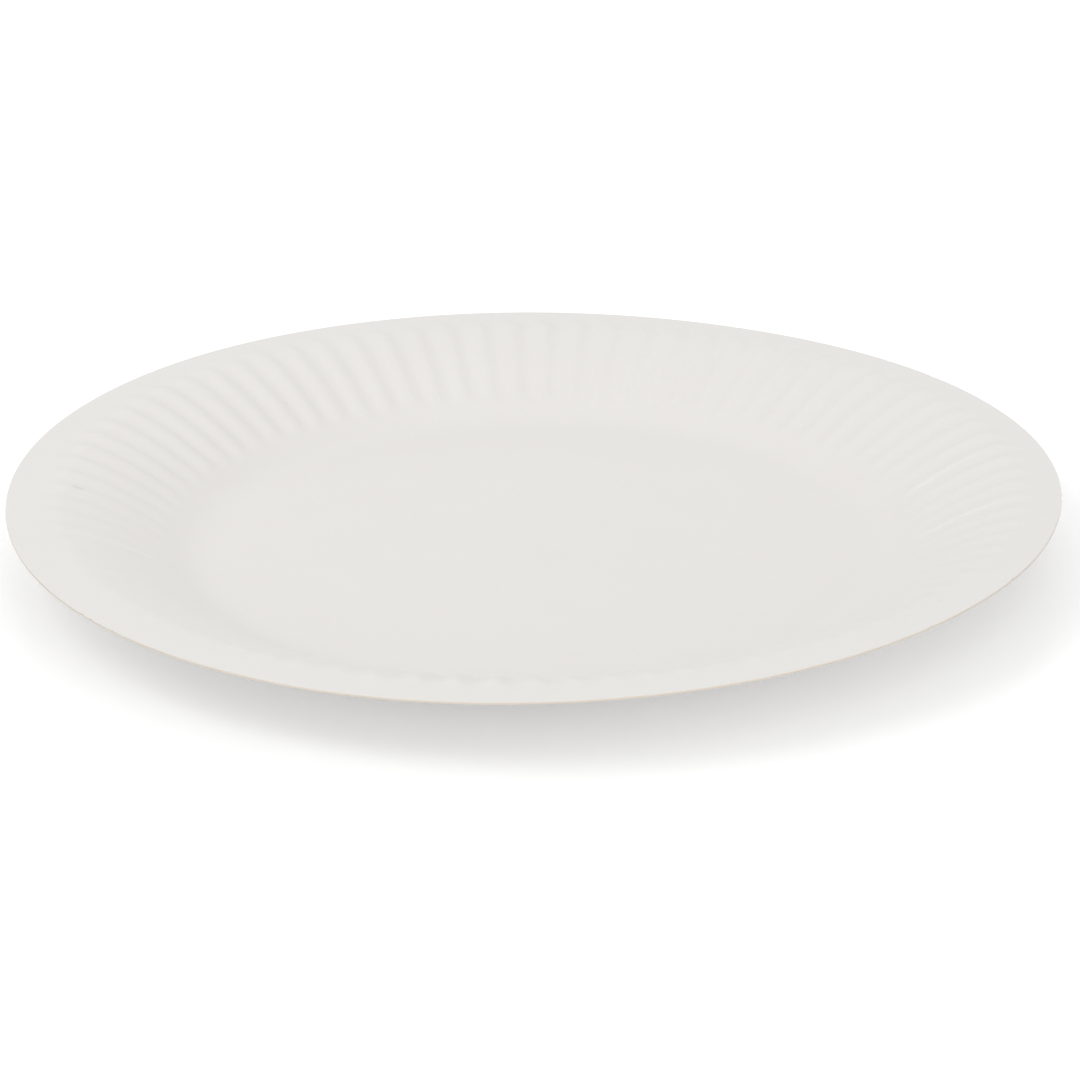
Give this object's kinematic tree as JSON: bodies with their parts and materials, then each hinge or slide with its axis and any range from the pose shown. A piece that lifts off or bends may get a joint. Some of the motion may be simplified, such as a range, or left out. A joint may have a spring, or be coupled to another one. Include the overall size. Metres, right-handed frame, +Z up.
{
  "type": "paper plate",
  "caption": "Round disposable paper plate with a flat floor, a sloping fluted wall and a plain narrow lip, pressed from one sheet of board.",
  "frame": {"origin": "middle of the plate, on the underside of the floor where it rests", "axes": "+Z up through the middle of the plate, out of its open face; the plate is round, so X and Y are any two level directions"},
  "size_m": [0.23, 0.23, 0.0165],
  "materials": {
    "board": "matte, uncoated off-white paperboard"
  },
  "bodies": {
    "root": {"plate": "board"}
  },
  "joints": []
}
